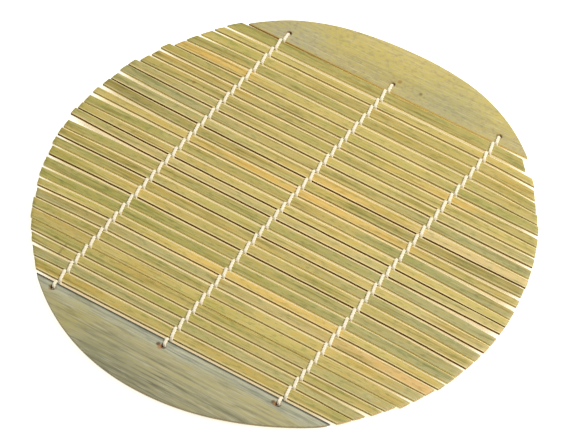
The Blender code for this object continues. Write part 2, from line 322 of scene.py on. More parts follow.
def make_floor():
    """A pale board with a painted glow, an emission that stands in for light.

    The glow is warmer under the mat, as painted light thrown back off the bamboo, and stronger round the
    mat, where it washes out the mat's shadow.
    """
    material, tree, shader = new_material("pale floor, painted glow")
    shader.inputs["Base Color"].default_value = linear("#F4F2EE")
    shader.inputs["Roughness"].default_value = 0.8
    # Painted glow: its colour and strength go from the value under the mat to the value round it
    place = add(tree, "ShaderNodeTexCoord", output="Object")
    out = add(tree, "ShaderNodeVectorMath", {0: place}, "Value", operation="LENGTH")
    out = add(tree, "ShaderNodeMapRange", {
        "Value": out, "From Min": GLOW_EDGE[0], "From Max": GLOW_EDGE[1],
    })
    under, around = linear(GLOW_UNDER[1]), linear(GLOW_AROUND[1])
    colour = add(tree, "ShaderNodeMix", {0: out, 6: under, 7: around}, 2, data_type="RGBA")
    glow = add(tree, "ShaderNodeMapRange", {
        "Value": out, "To Min": GLOW_UNDER[0], "To Max": GLOW_AROUND[0],
    })
    tree.links.new(colour, shader.inputs["Emission Color"])
    tree.links.new(glow, shader.inputs["Emission Strength"])
    mesh = bpy.data.meshes.new("floor")
    signs = ((-1, -1), (1, -1), (1, 1), (-1, 1))
    square = [(x * FLOOR_HALF, y * FLOOR_HALF, FLOOR_LEVEL) for x, y in signs]
    mesh.from_pydata(square, [], [(0, 1, 2, 3)])
    floor = bpy.data.objects.new("floor", mesh)
    floor.data.materials.append(material)
    bpy.context.collection.objects.link(floor)


def make_lights():
    """A soft box behind and to the right of the mat, and an even pale room."""
    box = bpy.data.lights.new("key_soft_box", "AREA")
    box.shape = "SQUARE"
    box.size = KEY_SIZE
    box.energy = KEY_POWER
    box.color = linear("#FFFAF0")[:3]
    light = bpy.data.objects.new("key_soft_box", box)
    towards = KEY_TOWARDS.normalized()
    light.location = towards * KEY_DISTANCE
    light.rotation_euler = towards.to_track_quat("Z", "Y").to_euler()
    bpy.context.collection.objects.link(light)
    world = bpy.data.worlds.new("pale studio")
    world.use_nodes = True
    background = world.node_tree.nodes["Background"]
    background.inputs["Color"].default_value = linear("#F6F8FA")
    background.inputs["Strength"].default_value = ROOM_LIGHT
    bpy.context.scene.world = world
    bpy.context.scene.view_settings.view_transform = "Standard"


# Materials


def spots(tree, place, length, width, detail=2.0, roughness=0.5):
    """Noise drawn out along the slats, in spots of about this length and width."""
    scale = (1 / length, 1 / width, 1 / width)
    drawn_out = add(tree, "ShaderNodeVectorMath", {0: place, 1: scale}, operation="MULTIPLY")
    return add(tree, "ShaderNodeTexNoise", {
        "Vector": drawn_out, "Scale": 1.0, "Detail": detail, "Roughness": roughness,
    })


def tinted(tree, colour, pattern, share, stops):
    """A colour multiplied by a pattern's tints."""
    tints = add(tree, "ShaderNodeValToRGB", {"Fac": pattern}, stops=stops)
    return add(tree, "ShaderNodeMix", {
        0: share, 6: colour, 7: tints,
    }, 2, data_type="RGBA", blend_type="MULTIPLY")


def laid_over(tree, colour, tone, pattern, start, stop, first, last):
    """A colour with a tone over it, whose strength goes from first to last along a pattern."""
    amount = add(tree, "ShaderNodeMapRange", {
        "Value": pattern, "From Min": start, "From Max": stop, "To Min": first, "To Max": last,
    })
    return add(tree, "ShaderNodeMix", {0: amount, 6: colour, 7: linear(tone)}, 2, data_type="RGBA")


def blotch(tree, colour, tone, strength, place, centre, pattern, ragged, inner, outer):
    """A colour with a patch of a tone round a place, ragged by a pattern and soft outside."""
    away = add(tree, "ShaderNodeVectorMath", {0: place, 1: centre}, "Value", operation="DISTANCE")
    away = add(tree, "ShaderNodeMath", {0: pattern, 1: ragged, 2: away}, operation="MULTIPLY_ADD")
    return laid_over(tree, colour, tone, away, inner, outer, strength, 0.0)


def split_bamboo():
    """Split bamboo, dry and unvarnished: satin skin, long fibres, split sides with painted shade.

    A slat's own colour comes from its tone attribute. The split sides show the inner wood, with painted
    shade on the near side of some slats, and the sawn ends show the darker inner wood. The skin's edges
    are pale, partly from wear and partly painted highlight.
    """
    material, tree, shader = new_material("split bamboo, dry")
    tone = add(tree, "ShaderNodeAttribute", output="Color", attribute_name="tone")
    seed, across, cut_end, near_dark = (
        add(tree, "ShaderNodeAttribute", output="Fac", attribute_name=name)
        for name in ("grain_seed", "across", "cut_end", "near_dark")
    )
    place = add(tree, "ShaderNodeTexCoord", output="Object")
    shift = add(tree, "ShaderNodeCombineXYZ", {"X": seed, "Y": seed, "Z": seed})
    moved = add(tree, "ShaderNodeVectorMath", {0: place, 1: shift}, operation="ADD")

    # Soft clouds of tone, streaks along the grain, and short flecks
    cloud = spots(tree, moved, 40 * MM, 6 * MM)
    streak = spots(tree, moved, 25 * MM, 1 * MM)
    fleck = spots(tree, moved, 3 * MM, 0.9 * MM)
    colour = tinted(tree, tone, cloud, 1.0, ((0.3, "#EBF2DA"), (0.5, "#FFFFFF"), (0.7, "#FFF2D4")))
    colour = tinted(tree, colour, streak, 0.9, (
        (0.3, "#CCCBAB"), (0.5, "#FFFFFF"), (0.72, "#FFFEEC"),
    ))
    colour = tinted(tree, colour, fleck, 0.9, (
        (0.32, "#DAE0C6"), (0.5, "#FFFFFA"), (0.68, "#FFF5D4"),
    ))

    # Pale fibres
    fibre = spots(tree, moved, 10 * MM, 0.3 * MM)
    colour = laid_over(tree, colour, "#E6D9A4", fibre, 0.56, 0.72, 0.0, 0.3)

    # Pale edges of the skin: along its far edge partly wear and partly a painted highlight where the edge
    # catches the light from behind, and along a near edge over painted shade, a painted highlight only
    uneven = add(tree, "ShaderNodeMapRange", {
        "Value": cloud, "From Min": 0.3, "From Max": 0.7, "To Min": 0.55, "To Max": 1.25,
    })
    for attribute, side, start, share in EDGE_WEAR_AND_HIGHLIGHT:
        amount = add(tree, "ShaderNodeAttribute", output="Fac", attribute_name=attribute)
        amount = add(tree, "ShaderNodeMath", {0: amount, 1: uneven}, operation="MULTIPLY")
        worn = add(tree, "ShaderNodeMapRange", {
            "Value": across, "From Min": side * start, "From Max": side * (start + PALE_EDGE_FADE),
            "To Max": share,
        })
        worn = add(tree, "ShaderNodeMath", {0: worn, 1: amount}, operation="MULTIPLY")
        colour = laid_over(tree, colour, "#F8E8B2", worn, 0.0, 1.0, 0.0, 1.0)

    # Split sides, which show the inner wood; the near side of some slats, which faces away from the
    # light, is mixed towards dark brown as painted shade, as deep as the shade in its gap
    near = add(tree, "ShaderNodeMath", {0: across, 1: 0.0}, operation="LESS_THAN")
    dark = add(tree, "ShaderNodeMath", {0: near_dark, 1: near}, operation="MULTIPLY")
    edge = add(tree, "ShaderNodeMath", {0: across}, operation="ABSOLUTE")
    edge = add(tree, "ShaderNodeMath", {0: dark, 1: 0.06, 2: edge}, operation="MULTIPLY_ADD")
    side = add(tree, "ShaderNodeMapRange", {"Value": edge, "From Min": 0.95, "From Max": 0.98})
    inner = add(tree, "ShaderNodeMix", {
        0: dark, 6: linear("#E4D68E"), 7: linear("#6A4806"),
    }, 2, data_type="RGBA")
    colour = add(tree, "ShaderNodeMix", {0: side, 6: colour, 7: inner}, 2, data_type="RGBA")

    # Sawn ends, with the dots of the fibre bundles
    dots = add(tree, "ShaderNodeTexVoronoi", {
        "Vector": moved, "Scale": 1 / BUNDLE_SPACING,
    }, "Distance")
    sawn = add(tree, "ShaderNodeValToRGB", {"Fac": dots}, stops=(
        (0.0, "#7C5A2E"), (0.35, "#B99B60"), (1.0, "#CDB27C"),
    ))
    colour = add(tree, "ShaderNodeMix", {0: cut_end, 6: colour, 7: sawn}, 2, data_type="RGBA")

    # Brown specks
    for centre, radius in SPECKS:
        colour = blotch(
            tree, colour, "#8A6B35", 0.75, place, centre, streak, 0.7 * MM, 0.7 * radius,
            1.5 * radius,
        )

    # The cross mark of a culm joint, a ragged line that crosses one slat
    away = add(tree, "ShaderNodeVectorMath", {0: place, 1: JOINT_MARK}, "Value", operation="DISTANCE")
    within = add(tree, "ShaderNodeMath", {0: away, 1: JOINT_REACH}, operation="LESS_THAN")
    along = add(tree, "ShaderNodeSeparateXYZ", {0: place}, "X")
    beside = add(tree, "ShaderNodeMath", {0: along, 1: JOINT_MARK.x}, operation="SUBTRACT")
    beside = add(tree, "ShaderNodeMath", {0: streak, 1: 0.8 * MM, 2: beside}, operation="MULTIPLY_ADD")
    line = add(tree, "ShaderNodeMath", {0: beside, 1: 0.4 * MM, 2: JOINT_WIDTH}, operation="COMPARE")
    mark = add(tree, "ShaderNodeMath", {0: line, 1: within}, operation="MULTIPLY")
    colour = laid_over(tree, colour, "#7D6636", mark, 0.0, 1.0, 0.0, 0.4)

    tree.links.new(colour, shader.inputs["Base Color"])
    satin = add(tree, "ShaderNodeMapRange", {"Value": streak, "To Min": 0.4, "To Max": 0.66})
    tree.links.new(satin, shader.inputs["Roughness"])
    gloss = add(tree, "ShaderNodeMapRange", {"Value": side, "To Min": 0.5, "To Max": 0.05})
    tree.links.new(gloss, shader.inputs["Specular IOR Level"])
    ridges = add(tree, "ShaderNodeMath", {0: fibre, 1: streak}, operation="ADD")
    relief = add(tree, "ShaderNodeBump", {"Height": ridges, "Strength": 0.5, "Distance": 0.05 * MM})
    tree.links.new(relief, shader.inputs["Normal"])
    return material


def flattened_bamboo(name, chord, depth, bands, grain_size, mottling, streaking, scratch, edge,
                     side_tone, holes, patches, marks):
    """Flattened culm wall: smooth skin in soft bands, with streaks, scratches and burnt holes.

    Its tone runs in bands from the straight edge to the rim, greyer near the straight edge, partly the
    board's own tone and partly a painted reflection of the pale room. The holes are burnt through with a
    hot wire, which leaves a brown rim. A patch or a mark is a place, a reach, a tone and a strength, and
    the band along the straight edge a tone and a reach.
    """
    material, tree, shader = new_material(name)
    place = add(tree, "ShaderNodeTexCoord", output="Object")
    flat = add(tree, "ShaderNodeVectorMath", {0: place, 1: (1, 1, 0)}, operation="MULTIPLY")

    # How far a point is from the straight edge
    (left_x, left_y), (right_x, right_y) = chord
    slope = (right_y - left_y) / (right_x - left_x)
    inward = math.copysign(1.0, depth)
    across = Vector((-slope, 1.0, 0.0)) * inward
    from_edge = add(tree, "ShaderNodeVectorMath", {0: flat, 1: across}, "Value", operation="DOT_PRODUCT")
    start = (left_y - slope * left_x) * inward
    from_edge = add(tree, "ShaderNodeMath", {0: from_edge, 1: start}, operation="SUBTRACT")
    part = add(tree, "ShaderNodeMapRange", {"Value": from_edge, "From Max": abs(depth)})

    # Bands that wander in soft clouds, greyer near the straight edge, partly the board's own tone and
    # partly a painted reflection of the pale room
    cloud = spots(tree, place, 30 * MM, 7 * MM, detail=3.0)
    wander = add(tree, "ShaderNodeMath", {0: cloud, 1: 0.5, 2: part}, operation="MULTIPLY_ADD")
    wander = add(tree, "ShaderNodeMath", {0: wander, 1: 0.25}, operation="SUBTRACT")
    colour = add(tree, "ShaderNodeValToRGB", {"Fac": wander}, stops=bands)

    # Soft patches, then the mottling and the streaks along the grain
    for (x, y), reach, tone, strength in patches:
        colour = blotch(
            tree, colour, tone, strength, flat, (x, y, 0), cloud, -1.2 * reach, -0.4 * reach,
            0.5 * reach,
        )
    mottle = spots(tree, place, *grain_size, detail=4.0, roughness=0.65)
    streak = spots(tree, place, 60 * MM, 1.2 * MM, detail=3.0)
    colour = tinted(tree, colour, mottle, 0.9, mottling)
    colour = tinted(tree, colour, streak, streaking, (
        (0.34, "#CDD0CC"), (0.5, "#FAFAF6"), (0.64, "#FFFDEC"),
    ))

    # Fine pale scratches along the grain
    lines = spots(tree, place, 8 * MM, 0.3 * MM, detail=1.0)
    colour = laid_over(tree, colour, scratch, lines, 0.58, 0.72, 0.0, 0.5)

    # A band in the edge tone along the straight edge, strongest at the edge
    edge_tone, edge_reach = edge
    colour = laid_over(tree, colour, edge_tone, from_edge, edge_reach / 2, edge_reach, 0.9, 0.0)

    # Sawn sides, wherever the surface doesn't face up or down
    facing = add(tree, "ShaderNodeNewGeometry", output="Normal")
    upright = add(tree, "ShaderNodeSeparateXYZ", {0: facing}, "Z")
    upright = add(tree, "ShaderNodeMath", {0: upright}, operation="ABSOLUTE")
    sawn = add(tree, "ShaderNodeMapRange", {"Value": upright, "From Min": 0.8, "From Max": 0.5})
    along = add(tree, "ShaderNodeSeparateXYZ", {0: place}, "X")
    to_right = add(tree, "ShaderNodeMapRange", {"Value": along, "From Min": -60 * MM, "From Max": 0.0})
    sides = add(tree, "ShaderNodeValToRGB", {"Fac": to_right}, stops=side_tone)
    colour = add(tree, "ShaderNodeMix", {0: sawn, 6: colour, 7: sides}, 2, data_type="RGBA")

    # Burnt rims and other marks
    burns = [((x, y), HOLE_RADIUS + SCORCH_REACH, "#5A3413", 0.95) for x, y in holes]
    for (x, y), reach, tone, strength in burns + list(marks):
        colour = blotch(
            tree, colour, tone, strength, flat, (x, y, 0), mottle, -0.8 * reach, 0.1 * reach,
            0.6 * reach,
        )

    tree.links.new(colour, shader.inputs["Base Color"])
    satin = add(tree, "ShaderNodeMapRange", {"Value": mottle, "To Min": 0.38, "To Max": 0.62})
    tree.links.new(satin, shader.inputs["Roughness"])
    ridges = add(tree, "ShaderNodeMath", {0: streak, 1: lines}, operation="ADD")
    relief = add(tree, "ShaderNodeBump", {"Height": ridges, "Strength": 0.4, "Distance": 0.06 * MM})
    tree.links.new(relief, shader.inputs["Normal"])
    return material


def cotton_string():
    """Soft twisted cotton: warm white and quite matt, with fibres that run round each ply."""
    material, tree, shader = new_material("twisted cotton, three-ply")
    along = add(tree, "ShaderNodeAttribute", output="Fac", attribute_name="along")
    around = add(tree, "ShaderNodeAttribute", output="Fac", attribute_name="around")
    turn = add(tree, "ShaderNodeMath", {0: around, 1: 2 * math.pi}, operation="MULTIPLY")
    cosine = add(tree, "ShaderNodeMath", {0: turn}, operation="COSINE")
    sine = add(tree, "ShaderNodeMath", {0: turn}, operation="SINE")
    length = add(tree, "ShaderNodeMath", {0: along, 1: 1 / (1.1 * MM)}, operation="MULTIPLY")
    spiral = add(tree, "ShaderNodeCombineXYZ", {"X": cosine, "Y": sine, "Z": length})
    fibre = add(tree, "ShaderNodeTexNoise", {"Vector": spiral, "Scale": 2.4, "Detail": 3.0})
    colour = add(tree, "ShaderNodeValToRGB", {"Fac": fibre}, stops=(
        (0.3, "#E4D8BC"), (0.5, "#F5ECD3"), (0.7, "#FBF6E4"),
    ))
    tree.links.new(colour, shader.inputs["Base Color"])
    shader.inputs["Roughness"].default_value = 0.92
    shader.inputs["Specular IOR Level"].default_value = 0.2
    shader.inputs["Sheen Weight"].default_value = 0.25
    relief = add(tree, "ShaderNodeBump", {"Height": fibre, "Strength": 0.45, "Distance": 0.05 * MM})
    tree.links.new(relief, shader.inputs["Normal"])
    return material


# Reading the frame


def corners(node, side):
    """Points along a node's upright edge on the near side (-1) or the far one (1)."""
    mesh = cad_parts[node].data
    found = {}
    for face in mesh.polygons:
        if face.normal.y * side > 0.9:
            for index in face.vertices:
                point = mesh.vertices[index].co
                found[round(point.x / (0.01 * MM))] = (point.x, point.y)
    return [found[key] for key in sorted(found)]


def edge_at(line, x):
    """Y of a line of points at a place, or at many places, along the mat."""
    return np.interp(x, [point[0] for point in line], [point[1] for point in line])


SLAT_EDGES = {name: (corners(name, -1), corners(name, 1)) for name in SLAT_NAMES}
BOARD_CHORDS = {}
for board, inner in (("board_far", -1), ("board_near", 1)):
    outline = corners(board, inner)
    BOARD_CHORDS[board] = [outline[0], outline[-1]]
LOW_FACE, HIGH_FACE = (corner.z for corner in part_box("board_far"))
MIDDLE_HEIGHT = (LOW_FACE + HIGH_FACE) / 2
HALF_THICKNESS = (HIGH_FACE - LOW_FACE) / 2


def board_rim(board, side):
    """A board's round rim, as turns round the mat's middle and the rim's distances from it."""
    found = {}
    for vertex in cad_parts[board].data.vertices:
        x, y, z = vertex.co
        on_wall = abs(z - MIDDLE_HEIGHT) < HALF_THICKNESS - FRAME_CHAMFER / 2
        if on_wall and math.hypot(x, y) > RIM_FROM:
            found[round(math.atan2(x, side * y), 3)] = math.hypot(x, y)
    turns = sorted(found)
    return turns, [found[turn] for turn in turns]


def hole_place(cloud, side):
    """Centre of the board's hole that a string goes through, at its near or far end."""
    end = cloud[:, 1].max() if side > 0 else cloud[:, 1].min()
    last = cloud[np.abs(cloud[:, 1] - end) < END_SLICE]
    return float(last[:, 0].min() + last[:, 0].max()) / 2, float(end - side * PASSAGE_HALF)


STRING_CLOUDS = {
    name: np.array([vertex.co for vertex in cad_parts[name].data.vertices])
    for name in STRING_NAMES
}
HOLES = {
    "board_far": [hole_place(cloud, 1) for cloud in STRING_CLOUDS.values()],
    "board_near": [hole_place(cloud, -1) for cloud in STRING_CLOUDS.values()],
}


# Making pieces


def evaluated(made):
    """The mesh that an object's modifiers give."""
    depsgraph = bpy.context.evaluated_depsgraph_get()
    return bpy.data.meshes.new_from_object(made.evaluated_get(depsgraph), depsgraph=depsgraph)


def piece_of(name, shape, mesh):
    """A piece with a shape's faces, turned outwards."""
    bmesh.ops.recalc_face_normals(shape, faces=shape.faces)
    shape.to_mesh(mesh)
    shape.free()
    piece = bpy.data.objects.new(name, mesh)
    bpy.context.collection.objects.link(piece)
    return piece


def group(name, sockets):
    """An empty geometry node tree with named inputs, and its input and output nodes."""
    tree = bpy.data.node_groups.new(name, "GeometryNodeTree")
    for socket, kind in (("Geometry", "Geometry"),) + sockets:
        tree.interface.new_socket(socket, in_out="INPUT", socket_type=f"NodeSocket{kind}")
    tree.interface.new_socket("Geometry", in_out="OUTPUT", socket_type="NodeSocketGeometry")
    return tree, tree.nodes.new("NodeGroupInput"), tree.nodes.new("NodeGroupOutput")


def grow(name, guide, tree, values):
    """Runs a geometry node tree on a guide mesh, and gives the result as a plain piece."""
    source = bpy.data.objects.new(f"{name}_guide", guide)
    bpy.context.collection.objects.link(source)
    modifier = source.modifiers.new("grow", "NODES")
    modifier.node_group = tree
    for item in tree.interface.items_tree:
        if item.in_out == "INPUT" and item.name in values:
            modifier[item.identifier] = values[item.name]
    mesh = evaluated(source)
    mesh.name = name
    bpy.data.objects.remove(source)
    shape = bmesh.new()
    shape.from_mesh(mesh)
    return piece_of(name, shape, mesh)


# Split slats


def slat_tree():
    """A slat between two edge lines: rounded section, slightly wavy sides, sawn ends."""
    tree, given, result = group("split slat", (
        ("Stations", "Int"), ("Around", "Int"), ("Half Thickness", "Float"),
        ("Side Power", "Float"), ("Face Power", "Float"), ("Crown", "Float"),
        ("Wave", "Float"), ("Lift", "Float"), ("Seed", "Float"), ("Near Painted Shade", "Float"),
        ("Far Wear And Highlight", "Float"), ("Material", "Material"),
    ))
    value = given.outputs
    lines = add(tree, "GeometryNodeMeshToCurve", {"Mesh": value["Geometry"]})
    grid = add(tree, "GeometryNodeMeshGrid", {
        "Size X": 1.0, "Size Y": 1.0, "Vertices X": value["Stations"], "Vertices Y": value["Around"],
    })

    # Which station along the slat, and which step round its section. The outer station at
    # each end is drawn in to a point, and the next one is the rim of the sawn cut.
    index = add(tree, "GeometryNodeInputIndex")
    share = add(tree, "ShaderNodeMath", {0: index, 1: value["Around"]}, operation="DIVIDE")
    share = add(tree, "ShaderNodeMath", {0: share, 1: 0.0001}, operation="ADD")
    station = add(tree, "ShaderNodeMath", {0: share}, operation="FLOOR")
    step = add(tree, "ShaderNodeMath", {0: index, 1: value["Around"]}, operation="MODULO")
    steps = add(tree, "ShaderNodeMath", {0: value["Around"], 1: 1.0}, operation="SUBTRACT")
    angle = add(tree, "ShaderNodeMath", {0: step, 1: steps}, operation="DIVIDE")
    angle = add(tree, "ShaderNodeMath", {0: angle, 1: 2 * math.pi}, operation="MULTIPLY")
    last = add(tree, "ShaderNodeMath", {0: value["Stations"], 1: 1.0}, operation="SUBTRACT")
    from_end = add(tree, "ShaderNodeMath", {0: last, 1: station}, operation="SUBTRACT")
    from_end = add(tree, "ShaderNodeMath", {0: from_end, 1: station}, operation="MINIMUM")
    shrink = add(tree, "ShaderNodeMath", {0: from_end, 1: SLAT_END_SECTION}, operation="MULTIPLY")
    shrink = add(tree, "ShaderNodeMath", {0: shrink, 1: 1.0}, operation="MINIMUM")
    cap = add(tree, "ShaderNodeMath", {0: from_end, 1: 1.5}, operation="LESS_THAN")
    span = add(tree, "ShaderNodeMath", {0: value["Stations"], 1: 3.0}, operation="SUBTRACT")
    factor = add(tree, "ShaderNodeMapRange", {"Value": station, "From Min": 2.0, "From Max": span})

    # Section: a rectangle with rounded edges, -1 to 1 across and -1 to 1 in height
    part = {}
    for name, wave, power in (("across", "COSINE", "Side Power"), ("height", "SINE", "Face Power")):
        raw = add(tree, "ShaderNodeMath", {0: angle}, operation=wave)
        size = add(tree, "ShaderNodeMath", {0: raw}, operation="ABSOLUTE")
        size = add(tree, "ShaderNodeMath", {0: size, 1: value[power]}, operation="POWER")
        sign = add(tree, "ShaderNodeMath", {0: raw}, operation="SIGN")
        part[name] = add(tree, "ShaderNodeMath", {0: size, 1: sign}, operation="MULTIPLY")
        part[name + "_side"] = sign
    across = add(tree, "ShaderNodeMath", {0: part["across"], 1: shrink}, operation="MULTIPLY")
    height = add(tree, "ShaderNodeMath", {0: part["height"], 1: shrink}, operation="MULTIPLY")

    # Place between the near line and the far one
    rails = []
    for number in (0, 1):
        rail = add(
            tree, "GeometryNodeSampleCurve", {"Curves": lines, "Factor": factor, "Curve Index": number},
            output="Position", mode="FACTOR", use_all_curves=False,
        )
        rails.append(rail)
    blend = add(tree, "ShaderNodeMapRange", {"Value": across, "From Min": -1.0, "From Max": 1.0})
    point = add(tree, "ShaderNodeMix", {0: blend, 4: rails[0], 5: rails[1]}, 1, data_type="VECTOR")
    x, y, level = (add(tree, "ShaderNodeSeparateXYZ", {0: point}, axis) for axis in "XYZ")
    outward = add(tree, "ShaderNodeMath", {0: factor, 1: 0.5}, operation="SUBTRACT")
    outward = add(tree, "ShaderNodeMath", {0: outward, 1: cap}, operation="MULTIPLY")
    x = add(tree, "ShaderNodeMath", {0: outward, 1: SLAT_END_BULGE, 2: x}, operation="MULTIPLY_ADD")

    # The sides waver as the split follows the fibres
    where = add(tree, "ShaderNodeMath", {0: x, 1: 1 / SLAT_WAVE_LENGTH}, operation="MULTIPLY")
    spot = add(tree, "ShaderNodeCombineXYZ", {"X": where, "Y": value["Seed"], "Z": part["across_side"]})
    waver = add(tree, "ShaderNodeTexNoise", {"Vector": spot, "Scale": 1.0, "Detail": 2.0})
    waver = add(tree, "ShaderNodeMapRange", {"Value": waver, "To Min": -2.0, "To Max": 2.0})
    waver = add(tree, "ShaderNodeMath", {0: waver, 1: value["Wave"]}, operation="MULTIPLY")
    weight = add(tree, "ShaderNodeMath", {0: across}, operation="ABSOLUTE")
    y = add(tree, "ShaderNodeMath", {0: waver, 1: weight, 2: y}, operation="MULTIPLY_ADD")

    # Height: the skin is slightly crowned, and the slat is not quite straight
    flat = add(tree, "ShaderNodeMath", {0: across, 1: across}, operation="MULTIPLY")
    flat = add(tree, "ShaderNodeMath", {0: 1.0, 1: flat}, operation="SUBTRACT")
    upper = add(tree, "ShaderNodeMath", {0: height, 1: 0.0}, operation="MAXIMUM")
    crown = add(tree, "ShaderNodeMath", {0: flat, 1: upper}, operation="MULTIPLY")
    crown = add(tree, "ShaderNodeMath", {0: crown, 1: value["Crown"]}, operation="MULTIPLY")
    z = add(tree, "ShaderNodeMath", {
        0: height, 1: value["Half Thickness"], 2: crown,
    }, operation="MULTIPLY_ADD")
    z = add(tree, "ShaderNodeMath", {0: z, 1: level}, operation="ADD")
    slow = add(tree, "ShaderNodeMath", {0: x, 1: 1 / SLAT_LIFT_LENGTH}, operation="MULTIPLY")
    spot = add(tree, "ShaderNodeCombineXYZ", {"X": slow, "Y": value["Seed"], "Z": 7.0})
    bowed = add(tree, "ShaderNodeTexNoise", {"Vector": spot, "Scale": 1.0, "Detail": 1.0})
    bowed = add(tree, "ShaderNodeMapRange", {"Value": bowed, "To Min": -2.0, "To Max": 2.0})
    z = add(tree, "ShaderNodeMath", {0: bowed, 1: value["Lift"], 2: z}, operation="MULTIPLY_ADD")

    point = add(tree, "ShaderNodeCombineXYZ", {"X": x, "Y": y, "Z": z})
    slat = grid
    for name, amount in (
        ("across", across), ("cut_end", cap), ("grain_seed", value["Seed"]),
        ("near_dark", value["Near Painted Shade"]), ("far_pale", value["Far Wear And Highlight"]),
    ):
        slat = add(tree, "GeometryNodeStoreNamedAttribute", {
            "Geometry": slat, "Name": name, "Value": amount,
        }, data_type="FLOAT", domain="POINT")
    slat = add(tree, "GeometryNodeSetPosition", {"Geometry": slat, "Position": point})
    slat = add(tree, "GeometryNodeMergeByDistance", {"Geometry": slat, "Distance": 0.002 * MM})
    slat = add(tree, "GeometryNodeSetShadeSmooth", {"Geometry": slat, "Shade Smooth": True})
    slat = add(tree, "GeometryNodeRealizeInstances", {"Geometry": slat})
    slat = add(tree, "GeometryNodeSetMaterial", {"Geometry": slat, "Material": value["Material"]})
    tree.links.new(slat, result.inputs["Geometry"])
    return tree


def smooth_step(part):
    """Eases a part from 0 to 1 and keeps it within them."""
    part = np.clip(part, 0.0, 1.0)
    return part * part * (3 - 2 * part)


def paint_tone(piece, left, middle, right, patch=None):
    """Gives each point of a slat its tone, from its left end to its right one."""
    mesh = piece.data
    places = np.empty(len(mesh.vertices) * 3, np.float32)
    mesh.vertices.foreach_get("co", places)
    x = places.reshape(-1, 3)[:, 0]
    ends = np.where(x[:, None] < 0, linear(TONES[left]), linear(TONES[right]))
    share = smooth_step(np.abs(x) / TONE_REACH)[:, None]
    tone = np.array(linear(TONES[middle])) * (1 - share) + ends * share
    if patch:
        name, start, stop = patch
        inside = smooth_step((x - start * MM) / PATCH_FADE + 0.5)
        inside = inside * smooth_step((stop * MM - x) / PATCH_FADE + 0.5)
        inside = 0.8 * inside[:, None]
        tone = tone * (1 - inside) + np.array(linear(TONES[name])) * inside
    layer = mesh.attributes.new("tone", "FLOAT_COLOR", "POINT")
    layer.data.foreach_set("color", tone.astype(np.float32).ravel())


def rail(points):
    """Even points along an edge of the frame, with its corners rounded off."""
    x = np.linspace(points[0][0], points[-1][0], RAIL_POINTS)
    y = edge_at(points, x)
    for _ in range(RAIL_ROUNDS):
        y[1:-1] = (y[:-2] + 2 * y[1:-1] + y[2:]) / 4
    return x, y


def closing(far_line, near_line, x, width):
    """How much closer two edges come than in the frame, so that their gap has its width."""
    frame_gap = edge_at(far_line, x) - edge_at(near_line, x)
    gap = np.maximum(frame_gap - (FRAME_GAP - width), LEAST_GAP)
    return frame_gap - gap


def make_slats():
    """One finished piece for each slat of the frame."""
    tree = slat_tree()
    bamboo = split_bamboo()
    lines = [(BOARD_CHORDS["board_far"], None)]
    lines += [SLAT_EDGES[name] for name in SLAT_NAMES]
    for number, name in enumerate(SLAT_NAMES):
        far_gap, near_gap = GAP_KINDS[GAPS[number]], GAP_KINDS[GAPS[number + 1]]
        near, far = SLAT_EDGES[name]
        near_x, near_y = rail(near)
        far_x, far_y = rail(far)
        far_y += closing(lines[number][0], far, far_x, far_gap[0]) / 2
        if number + 1 < len(SLAT_NAMES):
            next_far = SLAT_EDGES[SLAT_NAMES[number + 1]][1]
            near_y -= closing(near, next_far, near_x, near_gap[0]) / 2
        else:
            near_y -= NEAR_BOARD_CLOSING
        points = [(x, y, MIDDLE_HEIGHT) for x, y in zip(near_x, near_y)]
        points += [(x, y, MIDDLE_HEIGHT) for x, y in zip(far_x, far_y)]
        links = [(i, i + 1) for i in range(len(points) - 1) if i != RAIL_POINTS - 1]
        guide = bpy.data.meshes.new(f"{name}_lines")
        guide.from_pydata(points, links, [])
        slat = grow(f"{name}_split", guide, tree, {
            "Stations": SLAT_STATIONS, "Around": SLAT_AROUND, "Half Thickness": HALF_THICKNESS,
            "Side Power": SLAT_SIDE_POWER, "Face Power": SLAT_FACE_POWER, "Crown": SLAT_CROWN,
            "Wave": SLAT_WAVE, "Lift": SLAT_LIFT, "Seed": 0.37 + 1.713 * number,
            "Near Painted Shade": near_gap[1], "Far Wear And Highlight": far_gap[2], "Material": bamboo,
        })
        paint_tone(slat, *SLAT_TONES[number])
        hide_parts(name)
        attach(slat, "root")


# End boards


def hole_ring(centre, radius, z):
    """Points round a hole, at one height."""
    x, y = centre
    turns = [2 * math.pi * step / HOLE_SIDES for step in range(HOLE_SIDES)]
    return [(x + radius * math.cos(turn), y + radius * math.sin(turn), z) for turn in turns]


def prism(name, rings):
    """Closed shape through rings of points, one above the other."""
    shape = bmesh.new()
    loops = [[shape.verts.new(point) for point in ring] for ring in rings]
    shape.faces.new(loops[0])
    shape.faces.new(loops[-1])
    for low, high in zip(loops, loops[1:]):
        for here in range(len(low)):
            there = (here + 1) % len(low)
            shape.faces.new((low[here], low[there], high[there], high[here]))
    return piece_of(name, shape, bpy.data.meshes.new(name))


def straight_edge(node, side):
    """Both ends of a board's straight edge, as near to the slats as it reaches."""
    return [(x, y - side * BOARD_REACH[node]) for x, y in BOARD_CHORDS[node]]


